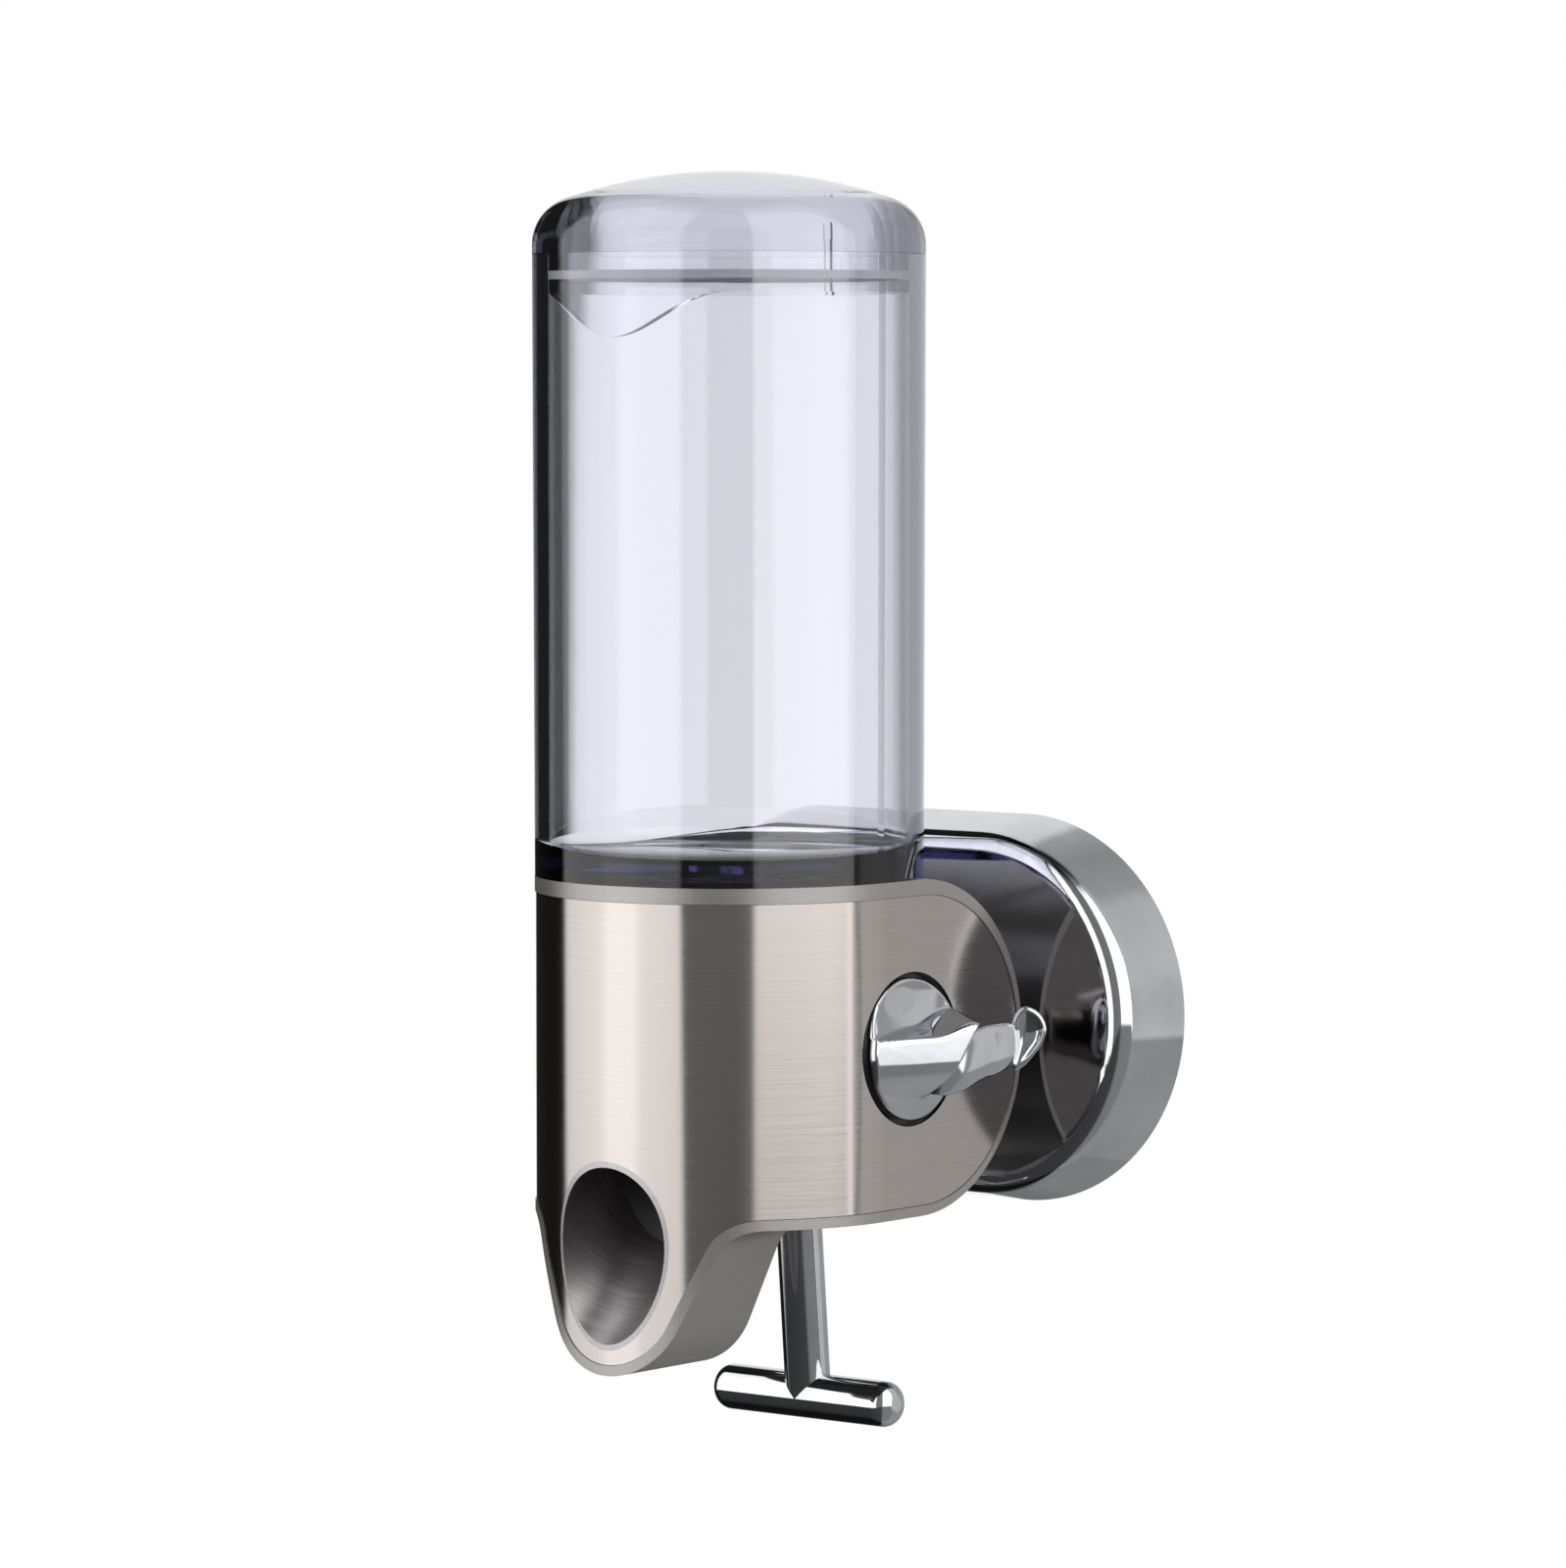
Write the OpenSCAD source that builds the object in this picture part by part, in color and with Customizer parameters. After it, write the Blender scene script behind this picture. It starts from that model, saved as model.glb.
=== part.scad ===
// Wall mounted soap dispenser: a clear reservoir on a brushed steel body with a spout tongue,
// a T-shaped pull lever below, a lock knob on the right cheek and a flange on the wall.
// Origin: centre of the flange on the wall. +X runs along the wall, +Y into it, +Z up.

/* [Body] */
// Width of the body, and diameter of the reservoir where it stands on the body
body_d = 75; // [72:0.5:96]
// Height of the body at its cheeks, without the tongue
body_h = 64.5; // [64:0.5:80]
// Distance of the reservoir's axis from the wall
axis_out = 64; // [63:0.5:80]
// Height of the deck, on which the reservoir stands, above the flange's centre
deck_z = 29; // [26:0.5:34]
// Wall of the body shell
shell_t = 2.5; // [2:0.1:3.2]
// Thickness of the deck
deck_t = 3.5; // [3:0.1:5]
// Gap between the flange's face and the rear of the body
rear_gap = 2.75; // [2:0.25:5]

/* [Steel cover] */
// Sheet thickness
cover_t = 0.8; // [0.6:0.1:1]
// How far the sheet lies below the lip round it
cover_sink = 0.2; // [0.1:0.05:0.4]
// Lip of the shell above the sheet
lip_top = 3; // [2:0.25:5]
// Lip of the shell below the sheet and round the tongue
lip_bottom = 2; // [1.5:0.25:4]
// Lip of the shell behind the sheet
lip_rear = 1.25; // [1:0.25:3]

/* [Tongue and spout] */
// Drop of the tongue's tip below the body
tongue_drop = 28.5; // [26:0.5:36]
// Radius of the tongue's tip
tongue_tip_r = 16.5; // [15.5:0.25:19]
// Lean of the tongue's sides from the vertical
tongue_lean = 25; // [15:1:30]
// Depth of the tongue from front to back
tongue_depth = 25; // [23:0.5:30]
// Radius where the tongue's sides run into the body's underside
tongue_fillet_r = 7; // [5:0.5:9]
// Bore of the spout liner
spout_d = 25; // [20:0.5:26]
// Rise of the spout's bore towards the inside
spout_tilt = 42; // [36:1:45]
// Height of the spout's centre above the tongue's tip, at the front
spout_rise = 22.6; // [21:0.2:26]
// Wall of the spout liner
liner_t = 0.8; // [0.6:0.1:1]
// Distance of the liner's inner end from the reservoir's axis
liner_end = 18; // [17.5:0.5:20]
// Thickness of the plate that closes the liner
spout_plate_t = 2; // [1.6:0.1:2.4]
// Outside diameter of the nozzle
nozzle_d = 6.4; // [5.6:0.2:7]
// Length of the nozzle in front of its plate
nozzle_l = 5; // [3:0.5:6]

/* [Reservoir] */
// Height of the reservoir, from the deck to the lid's seam
reservoir_h = 119.1; // [80:0.5:160]
// How much wider the radius is at the seam than at the deck
reservoir_flare = 0.3; // [0:0.05:0.8]
// Wall at the deck
reservoir_wall = 2.7; // [2.2:0.1:3.6]
// Thickness of the floor
reservoir_floor = 4; // [3:0.25:6]
// Radius inside the floor's corner
reservoir_corner_r = 3; // [1:0.25:5]
// Outside diameter of the neck below the floor
neck_d = 19; // [17:0.5:22]
// Bore of the neck
neck_bore = 13; // [9:0.5:14]
// Length of the neck
neck_l = 18; // [17:0.5:20]

/* [Lid] */
// Rise of the lid above its seam
lid_rise = 15.85; // [14:0.25:22]
// Radius of the dome
dome_r = 98; // [80:1:140]
// Radius of the shoulder between the dome and the side
shoulder_r = 9.5; // [8:0.25:12]
// Thickness of the dome
lid_t = 2.5; // [2:0.1:3.5]
// Wall of the skirt inside the reservoir
skirt_t = 1.6; // [1.4:0.1:2.4]
// Length of the skirt below the seam
skirt_l = 7.5; // [7:0.25:12]
// Length of the skirt's front tab below the seam
tab_l = 16; // [12:0.5:22]
// Half of the angle that the tab takes up
tab_half_angle = 38; // [25:1:60]
// Gap between the skirt and the reservoir's wall
skirt_gap = 0.3; // [0.2:0.05:0.5]
// Gap between the gasket and the reservoir's wall
gasket_gap = 0.08; // [0.05:0.01:0.1]
// Height of the gasket
gasket_h = 1.6; // [1.2:0.1:2]
// Depth of the gasket's top edge below the seam
gasket_drop = 3.4; // [2.5:0.1:4]

/* [Pump] */
// Bore of the pump barrel
barrel_bore = 12.4; // [11.6:0.2:13]
// Wall of the barrel
barrel_wall = 1.8; // [1.4:0.1:2]
// Length of the chamber
chamber_l = 17.5; // [17:0.25:20]
// Plate between the neck and the chamber
inlet_plate_t = 2.5; // [2:0.25:3]
// Length of the piston's head
piston_l = 5; // [4.5:0.25:5.5]
// Diameter of the piston's rod
piston_rod_d = 5; // [4:0.25:6]
// Distance of the foot's underside from the deck
foot_drop = 55; // [54:0.5:57]
// Thickness of the foot
foot_t = 2.5; // [2:0.25:3]
// Diameter of the foot
foot_d = 15; // [14:0.5:16]
// Outside diameter of the outlet tube
pipe_d = 5.2; // [4.6:0.1:5.4]
// Wall of the outlet tube
pipe_wall = 1; // [0.8:0.1:1.2]
// Wire of the pump spring
spring_wire = 0.9; // [0.7:0.05:1]
// Turns of the pump spring
spring_turns = 5; // [4:1:6]

/* [Lever] */
// Diameter of the crossbar and of the rod
bar_d = 9; // [8:0.25:10]
// Length of the crossbar
bar_l = 44; // [36:1:64]
// Drop of the crossbar's centre below the body
bar_drop = 39.5; // [34:0.5:60]
// Lean of the rod towards the wall
rod_lean = 5; // [2:0.5:7]
// Distance of the lever's pivot behind the reservoir's axis
pivot_back = 19.5; // [19:0.5:21]
// Height of the pivot above the crank's nose
crank_drop = 13.75; // [13:0.25:15]
// Pull of the lever, in degrees
pull = 18; // [12:1:18]
// Diameter of the pivot pin
pin_d = 6; // [5:0.25:6.5]

/* [Lock] */
// Distance of the lock's axis behind the reservoir's axis
lock_back = 9; // [8.5:0.25:10]
// Diameter of the knob's round base
knob_d = 27.2; // [24:0.2:30]
// Gap round the knob's base
knob_gap = 1.2; // [0.6:0.1:2]
// Reach of the knob's lever from its axis
knob_reach = 29; // [24:0.5:30]
// Diameter of the spindle
spindle_d = 8; // [7:0.25:9]
// Width of the spindle across its flats
spindle_flats = 5.6; // [4.8:0.1:6]

/* [Wall side] */
// Width of the flange
flange_w = 124.4; // [110:0.5:150]
// Height of the flange
flange_h = 76.8; // [70:0.4:92]
// Depth of the flange
flange_depth = 17; // [15:0.5:18]
// How much the flange's outline draws in from back to front
flange_taper = 3.3; // [1:0.1:5]
// Radius of the flange's front edge
flange_edge_r = 4; // [2.5:0.25:6]
// Wall of the flange
flange_t = 1.5; // [1.2:0.1:2]
// Thickness of the bracket's base plate
base_t = 2.5; // [2:0.25:4]
// Distance between the two wall screws
screw_spacing = 70; // [64:1:90]
// Diameter of the holes for the wall screws
screw_hole_d = 5.2; // [4:0.1:6.5]
// Thickness of the bracket's prongs
prong_t = 5; // [4:0.25:5.5]
// Clear width between the prongs
prong_gap = 32; // [31.5:0.25:33]
// Height of the prongs
prong_h = 22; // [20:0.5:26]

/* [Hidden] */

$fn = 96;
eps = 0.01;       // overlap of a cut past the face that it opens
snug = 0.02;      // radial gap between pieces fixed to each other
running = 0.05;   // radial gap of a shaft that turns or slides
slip = 0.2;       // gap between parts that slide in by hand
far = 200;        // longer than the dispenser in any direction

// Body and cover
body_r = body_d / 2;
axis_y = -axis_out;
bottom_z = deck_z - body_h;
mid_z = deck_z - body_h / 2;
rear_y = -(flange_depth + rear_gap);
cover_out = cover_sink;
cover_in = cover_sink + cover_t;
tongue_z = bottom_z - tongue_drop + tongue_tip_r;
tip_steps = 20;      // flats of each half of the tip
fillet_steps = 12;   // flats of each fillet beside the tongue
tongue_back_y = axis_y - body_r + tongue_depth;

// Spout
spout_y = axis_y - body_r;
spout_z = bottom_z - tongue_drop + spout_rise;
liner_y = axis_y - liner_end;
nozzle_z = spout_z + (liner_y - spout_y) * tan(spout_tilt) + 5;

// Reservoir and lid
seam_z = deck_z + reservoir_h;
seam_r = body_r + reservoir_flare;
mouth_r = body_r - reservoir_wall;
skirt_r = mouth_r - skirt_gap;
skirt_in = skirt_r - skirt_t;
groove_r = skirt_r - 0.8;
neck_end = deck_z - neck_l;
gasket_w = 4.5;
gasket_t = 1.5;
nut_t = 6;
nut_seat = 0.3;    // depth of the flat seat for the nut under the deck
nut_corner_r = neck_d / 2 + 6;

// Pump
barrel_r = barrel_bore / 2 + barrel_wall;
chamber_top = neck_end - inlet_plate_t;
barrel_end = chamber_top - chamber_l;
cap_t = 2;
cap_r = barrel_r + 1.2;
piston_bottom = barrel_end + 0.5;
foot_z = deck_z - foot_drop;
port_z = chamber_top - 2.5;
pipe_y = axis_y - (cap_r + 0.4 + pipe_d / 2);
pipe_bend = 3.5;

// Lever
nose_r = 2.5;
nose_gap = 0.25;
nose_z = foot_z - nose_gap - nose_r;
pivot_y = axis_y + pivot_back;
pivot_z = nose_z + crank_drop;
knee_back = 10.5;
bar_z = bottom_z - bar_drop;
rod_l = (pivot_z - bar_z) / cos(rod_lean);
bar_y = pivot_y + rod_l * sin(rod_lean);
hub_r = 7;
hub_half = 9;
ear_in = hub_half + 1;
ear_out = ear_in + 3;
bush_wall = 1;
clip_t = 0.8;

// Floor plate: its edges in front of and behind the reservoir's axis, and its screws
floor_front = axis_y - 8;
floor_back = axis_y + 30;
floor_half = body_r - 6.5;
floor_window_h = shell_t + 6;
post_x = body_r - 10;
post_ys = [axis_y - 4.5, axis_y + 17];
screw_d = 3;
screw_head_d = 5.6;
screw_head_t = 1.2;
screw_l = 12;

// Lock and bracket
lock_y = axis_y + lock_back;
lock_hole_r = knob_d / 2 + knob_gap;
bush_r = lock_hole_r + 3;
bush_t = 2.4;
cheek_x = body_r;
knob_x = cheek_x - shell_t + 0.6;
knob_base_t = 3;
knob_crown = 3;
prong_in = prong_gap / 2;
prong_out = prong_in + prong_t;
prong_end = lock_y - 8;
neck_y = rear_y - 6;

// Flange
flange_r = flange_h / 2;
flange_c = flange_w / 2 - flange_r;

// ---- Outlines and solids that several pieces share ----

// Extrudes a (Y, Z) outline along X, centred.
module along_x(width) {
    rotate([90, 0, 90]) linear_extrude(height = width, center = true) children();
}

// Extrudes an (X, Z) outline along Y between two places.
module along_y(from, to) {
    translate([0, to, 0]) rotate([90, 0, 0]) linear_extrude(height = to - from) children();
}

// A cylinder along X between two places.
module rod_x(r, from, to, y = 0, z = 0) {
    translate([from, y, z]) rotate([0, 90, 0]) cylinder(h = to - from, r = r);
}

// Plan of the body, drawn in by inset: round in front, flat cheeks behind.
module plan(inset) {
    translate([0, axis_y]) circle(r = body_r - inset);
    translate([inset - body_r, axis_y]) square([2 * (body_r - inset), axis_out]);
}

// Side outline of the body between two heights, round at the rear.
module side(low, high, rear) {
    r = (high - low) / 2;
    translate([-far, low]) square([far + rear - r, high - low]);
    translate([rear - r, (high + low) / 2]) circle(r = r);
}

// The body without its tongue, filled.
module block() {
    intersection() {
        translate([0, 0, bottom_z]) linear_extrude(height = body_h) plan(0);
        along_x(far) side(bottom_z, deck_z, rear_y);
    }
}

// The space inside the body.
module cavity() {
    intersection() {
        translate([0, 0, bottom_z]) linear_extrude(height = body_h) plan(shell_t);
        along_x(far) side(bottom_z + shell_t, deck_z - deck_t, rear_y - shell_t - 0.5);
    }
}

// Points of an arc, from one angle to another.
function arc(centre, r, from, to, steps) = [for (i = [0:steps])
    centre + r * [cos(from + (to - from) * i / steps), sin(from + (to - from) * i / steps)]];

// Front outline of the tongue, drawn in by inset, up to the edge that it hangs from: a round tip,
// leaning sides, and a fillet on each side.
module tongue_outline(inset) {
    r = tongue_tip_r - inset;
    f = tongue_fillet_r + inset;
    top = bottom_z + inset;
    lean = [cos(tongue_lean), -sin(tongue_lean)];
    run = (top - f - tongue_z - (r + f) * lean[1]) / lean[0];
    centre = [0, tongue_z] + (r + f) * lean + run * [-lean[1], lean[0]];
    right = concat(arc([0, tongue_z], r, -90, -tongue_lean, tip_steps),
                   arc(centre, f, 180 - tongue_lean, 90, fillet_steps), [[centre[0], top + 1]]);
    polygon(concat(right, [for (i = [len(right) - 1:-1:1]) [-right[i][0], right[i][1]]]));
}

// The tongue, filled.
module tongue() intersection() {
    translate([0, 0, bottom_z - tongue_drop - 1]) linear_extrude(height = tongue_drop + 2)
        translate([0, axis_y]) circle(r = body_r);
    along_y(tongue_back_y - tongue_depth - 1, tongue_back_y) tongue_outline(0);
}

// The field of the front and cheeks that the steel sheet covers, drawn in by gap.
module cover_field(gap) {
    along_x(far) side(bottom_z + lip_bottom + gap, deck_z - lip_top - gap, rear_y - lip_rear - gap);
    along_y(-far, axis_y) tongue_outline(lip_bottom + gap);
}

// A skin of the body's front and cheeks between two insets.
module skin(outer, inner) {
    translate([0, 0, bottom_z - tongue_drop]) linear_extrude(height = tongue_drop + body_h)
        difference() {
            plan(outer);
            plan(inner);
            translate([-far / 2, -eps]) square([far, far]);
        }
}

// A cylinder on the spout's slanting axis.
module spout_bore(r) {
    translate([0, spout_y, spout_z]) rotate([spout_tilt - 90, 0, 0])
        translate([0, 0, -40]) cylinder(h = 110, r = r);
}

// The half space in front of a place.
module in_front_of(y) {
    translate([-far / 2, y - far, -far / 2]) cube([far, far, far]);
}

// Half section of the lid: side, shoulder and dome.
module lid_section(r, f, dome, rise) {
    dome_z = seam_z + rise - dome;
    f_z = dome_z + sqrt(pow(dome - f, 2) - pow(r - f, 2));
    edge = (r - f) * dome / (dome - f);
    intersection() {
        translate([0, dome_z]) circle(r = dome, $fn = 360);
        translate([0, seam_z]) square([edge, rise]);
    }
    intersection() {
        translate([r - f, f_z]) circle(r = f);
        translate([0, seam_z]) square([r, rise]);
    }
    translate([0, seam_z]) square([r, f_z - seam_z]);
}

// Half section of the flange: tapered side, rounded edge and flat face.
module flange_section(r, depth, edge) {
    a = atan(flange_taper / flange_depth);
    cd = depth - edge;
    cr = r - cd * tan(a) - edge / cos(a);
    polygon([[0, 0], [r, 0], [cr + edge * cos(a), cd + edge * sin(a)], [cr, cd], [cr, depth],
             [0, depth]]);
    translate([cr, cd]) circle(r = edge);
}

// The flange, filled: two round ends and a straight middle.
module flange_solid(r, depth, edge) {
    rotate([90, 0, 0]) {
        for (m = [-1, 1]) translate([m * flange_c, 0, 0]) rotate_extrude() intersection() {
            flange_section(r, depth, edge);
            square([far, far]);
        }
        along_x(2 * flange_c) {
            flange_section(r, depth, edge);
            mirror([1, 0]) flange_section(r, depth, edge);
        }
    }
}

// A ring with a gap, along X: a retaining clip.
module clip_x(inner, outer, from, y, z) {
    difference() {
        rod_x(outer, from, from + clip_t, y, z);
        rod_x(inner, from - 1, from + clip_t + 1, y, z);
        translate([from - 1, y - inner * 0.7, z]) cube([clip_t + 2, inner * 1.4, outer + 1]);
    }
}

// A straight bar with round ends, as an outline.
module link(a, b, width) {
    d = b - a;
    translate(a) rotate(atan2(d[1], d[0])) translate([0, -width / 2]) square([norm(d), width]);
    translate(a) circle(d = width);
    translate(b) circle(d = width);
}

// ---- Wall side ----

module wall_bracket() color("#8c9094") {
    plate_r = flange_r - flange_t - 0.6;
    neck_low = mid_z - prong_h / 2;
    difference() {
        union() {
            rotate([90, 0, 0]) linear_extrude(height = base_t) {
                for (m = [-1, 1]) translate([m * flange_c, 0]) circle(r = plate_r);
                square([2 * flange_c, 2 * plate_r], center = true);
            }
            translate([-prong_out, prong_end, neck_low])
                cube([2 * prong_out, -base_t - prong_end + eps, prong_h]);
        }
        translate([-prong_in, prong_end - 1, neck_low - 1])
            cube([2 * prong_in, neck_y - prong_end + 1, prong_h + 2]);
        translate([-prong_in, neck_y - 1, neck_low + 4])
            cube([2 * prong_in, -base_t - neck_y - 3, prong_h - 8]);
        for (m = [-1, 1]) translate([m * screw_spacing / 2, 1, 0]) rotate([90, 0, 0])
            cylinder(h = base_t + 2, d = screw_hole_d);
        rod_x(spindle_d / 2 + running, -far, far, lock_y, mid_z);
        translate([-far / 2, prong_end - 1, mid_z - spindle_flats / 2 - slip])
            cube([far, lock_y - prong_end + 1, spindle_flats + 2 * slip]);
    }
}

module wall_flange() color("silver") {
    post_h = flange_depth - flange_t - base_t;
    difference() {
        flange_solid(flange_r, flange_depth, flange_edge_r);
        translate([0, eps, 0])
            flange_solid(flange_r - flange_t, flange_depth - flange_t + eps, flange_edge_r - flange_t);
        translate([-prong_out - slip, -far / 2, mid_z - prong_h / 2 - slip])
            cube([2 * (prong_out + slip), far / 2, prong_h + 2 * slip]);
    }
    for (x = [-1, 1], z = [-1, 1])
        translate([x * (flange_c + 4), -base_t, z * (flange_r - 15)]) rotate([90, 0, 0])
            cylinder(h = post_h + eps, r = 2.5);
}

// ---- Body ----

module housing() color("#9a9794") difference() {
    union() {
        difference() {
            union() {
                block();
                tongue();
            }
            cavity();
            intersection() {
                skin(-1, cover_in);
                cover_field(0);
            }
        }
        intersection() {
            cavity();
            for (m = [-1, 1], y = post_ys) translate([m * post_x, y, bottom_z])
                cylinder(h = body_h, d = screw_d + 3.4);
        }
    }
    // Hole for the reservoir's neck and the recess for its gasket
    translate([0, axis_y, deck_z - deck_t - 1]) cylinder(h = deck_t + 2, r = neck_d / 2 + slip);
    translate([0, axis_y, deck_z - gasket_t]) cylinder(h = gasket_t + 1, r = neck_d / 2 + gasket_w);
    // Flat seat for the nut, because the deck's underside curves down towards the rear
    translate([0, axis_y, deck_z - deck_t - nut_t])
        cylinder(h = nut_t + nut_seat, r = nut_corner_r + slip);
    // Spout
    intersection() {
        spout_bore(spout_d / 2 + liner_t + snug);
        in_front_of(liner_y + spout_plate_t);
    }
    // Window for the floor plate, and the pilot holes for its screws
    translate([-floor_half, floor_front, bottom_z - 1])
        cube([2 * floor_half, floor_back - floor_front, floor_window_h]);
    for (m = [-1, 1], y = post_ys) translate([m * post_x, y, bottom_z])
        cylinder(h = screw_l + 1, d = screw_d);
    // Window for the bracket's neck
    translate([-prong_out - slip, rear_y - 12, mid_z - prong_h / 2 - slip])
        cube([2 * (prong_out + slip), 20, prong_h + 2 * slip]);
    // Hole for the knob
    rod_x(lock_hole_r, cheek_x - shell_t - 0.5, far, lock_y, mid_z);
}

module front_cover() color("#c9c2be") difference() {
    intersection() {
        skin(cover_out, cover_in);
        cover_field(0.1);
    }
    spout_bore(spout_d / 2 + liner_t + snug);
    rod_x(lock_hole_r, 0, far, lock_y, mid_z);
}

module floor_plate() color("#6c6a69") difference() {
    union() {
        intersection() {
            difference() {
                block();
                cavity();
            }
            translate([-floor_half + slip, floor_front + slip, bottom_z - 1])
                cube([2 * (floor_half - slip), floor_back - floor_front - 2 * slip,
                      floor_window_h - 0.5]);
        }
        intersection() {
            block();
            for (m = [-1, 1]) translate([m * (ear_in + ear_out) / 2, 0, 0]) along_x(ear_out - ear_in) {
                translate([pivot_y, pivot_z]) circle(r = hub_r - 0.5);
                translate([pivot_y - hub_r + 0.5, bottom_z + 1])
                    square([2 * hub_r - 1, pivot_z - bottom_z - 1]);
            }
        }
    }
    // Slot in which the rod swings
    lean_in = (pivot_z - bottom_z) * tan(rod_lean);
    lean_out = (pivot_z - bottom_z) * tan(pull - rod_lean);
    slot_r = bar_d / 2 + 0.8;
    translate([0, 0, bottom_z - 1]) linear_extrude(height = floor_window_h)
        link([0, pivot_y - lean_out], [0, pivot_y + lean_in], 2 * slot_r);
    rod_x(pin_d / 2 + snug, -far, far, pivot_y, pivot_z);
    for (m = [-1, 1], y = post_ys) translate([m * post_x, y, bottom_z]) {
        translate([0, 0, -1]) cylinder(h = shell_t + 2, d = screw_d + 0.4);
        translate([0, 0, -1]) cylinder(h = 1 + screw_head_t, d = screw_head_d + 0.4);
    }
}

module floor_screws() color("#b5b5b5")
    for (m = [-1, 1], y = post_ys) translate([m * post_x, y, bottom_z]) difference() {
        union() {
            translate([0, 0, 0.2]) cylinder(h = screw_head_t - 0.2, d = screw_head_d);
            translate([0, 0, 0.2]) cylinder(h = screw_l, d = screw_d - 2 * snug);
        }
        for (a = [0, 90]) rotate(a) translate([-1.5, -0.35, 0]) cube([3, 0.7, 0.8]);
    }

// ---- Spout ----

module spout_liner() color("#a5a7aa") difference() {
    intersection() {
        spout_bore(spout_d / 2 + liner_t);
        in_front_of(liner_y);
        translate([0, axis_y, bottom_z - tongue_drop - 1]) cylinder(h = far, r = body_r - cover_out);
    }
    spout_bore(spout_d / 2);
}

module spout_plate() color("#2b2b2d") difference() {
    intersection() {
        spout_bore(spout_d / 2 + liner_t);
        in_front_of(liner_y + spout_plate_t);
        translate([-far / 2, liner_y, -far / 2]) cube([far, far, far]);
    }
    translate([0, liner_y + far / 2, nozzle_z]) rotate([90, 0, 0])
        cylinder(h = far, d = nozzle_d - 1.2 + 2 * snug);
}

module nozzle() color("#3a3a3d") difference() {
    translate([0, 0, nozzle_z]) rotate([90, 0, 0]) {
        translate([0, 0, -liner_y]) cylinder(h = nozzle_l - 1.5, d = nozzle_d);
        translate([0, 0, -liner_y + nozzle_l - 1.5])
            cylinder(h = 1.5, d1 = nozzle_d, d2 = nozzle_d - 2.4);
        translate([0, 0, -liner_y - spout_plate_t]) cylinder(h = spout_plate_t + eps, d = nozzle_d - 1.2);
    }
    translate([0, liner_y + far / 2, nozzle_z]) rotate([90, 0, 0]) cylinder(h = far, d = 2.4);
}

// From the port at the top of the chamber, down in front of the barrel, and forward to the nozzle.
module pipe_section() difference() {
    circle(d = pipe_d);
    circle(r = pipe_d / 2 - pipe_wall);
}

module pipe_elbow() rotate_extrude(angle = 90) translate([pipe_bend, 0]) pipe_section();

module outlet_tube() color("#d8d8d2") {
    start_y = axis_y - barrel_bore / 2 - 0.6;
    plate_y = liner_y + spout_plate_t;
    translate([0, start_y, port_z]) rotate([90, 0, 0])
        linear_extrude(height = start_y - pipe_y - pipe_bend) pipe_section();
    translate([0, pipe_y + pipe_bend, port_z - pipe_bend]) rotate([90, 0, -90]) pipe_elbow();
    translate([0, pipe_y, nozzle_z + pipe_bend])
        linear_extrude(height = port_z - nozzle_z - 2 * pipe_bend) pipe_section();
    translate([0, pipe_y - pipe_bend, nozzle_z + pipe_bend]) rotate([90, 180, -90]) pipe_elbow();
    translate([0, pipe_y - pipe_bend, nozzle_z]) rotate([90, 0, 0])
        linear_extrude(height = max(pipe_y - pipe_bend - plate_y, eps)) pipe_section();
}

// ---- Reservoir and lid ----

module reservoir() color("#b9bfe6", 0.5) translate([0, axis_y, 0]) difference() {
    union() {
        translate([0, 0, deck_z]) cylinder(h = reservoir_h, r1 = body_r, r2 = seam_r, $fn = 180);
        translate([0, 0, neck_end]) cylinder(h = neck_l + 1, d = neck_d);
    }
    rotate_extrude($fn = 180) {
        floor_z = deck_z + reservoir_floor;
        translate([0, floor_z]) square([mouth_r - reservoir_corner_r, reservoir_h]);
        translate([0, floor_z + reservoir_corner_r]) square([mouth_r, reservoir_h]);
        intersection() {
            translate([mouth_r - reservoir_corner_r, floor_z + reservoir_corner_r])
                circle(r = reservoir_corner_r);
            translate([0, floor_z]) square([mouth_r, reservoir_h]);
        }
    }
    translate([0, 0, neck_end - 1]) cylinder(h = neck_l + reservoir_floor + 2, d = neck_bore);
}

module reservoir_gasket() color("#3b3b3f") translate([0, axis_y, deck_z - gasket_t]) difference() {
    cylinder(h = gasket_t, r = neck_d / 2 + gasket_w - slip);
    translate([0, 0, -1]) cylinder(h = gasket_t + 2, r = neck_d / 2 + snug);
}

module reservoir_nut() color("#e6e6e2")
    translate([0, axis_y, deck_z - deck_t + nut_seat - nut_t - snug]) difference() {
    union() {
        cylinder(h = nut_t, r = nut_corner_r, $fn = 6);
        translate([0, 0, nut_t - 1.5]) cylinder(h = 1.5, r = nut_corner_r);
    }
    translate([0, 0, -1]) cylinder(h = nut_t + 2, r = neck_d / 2 + snug);
}

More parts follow.
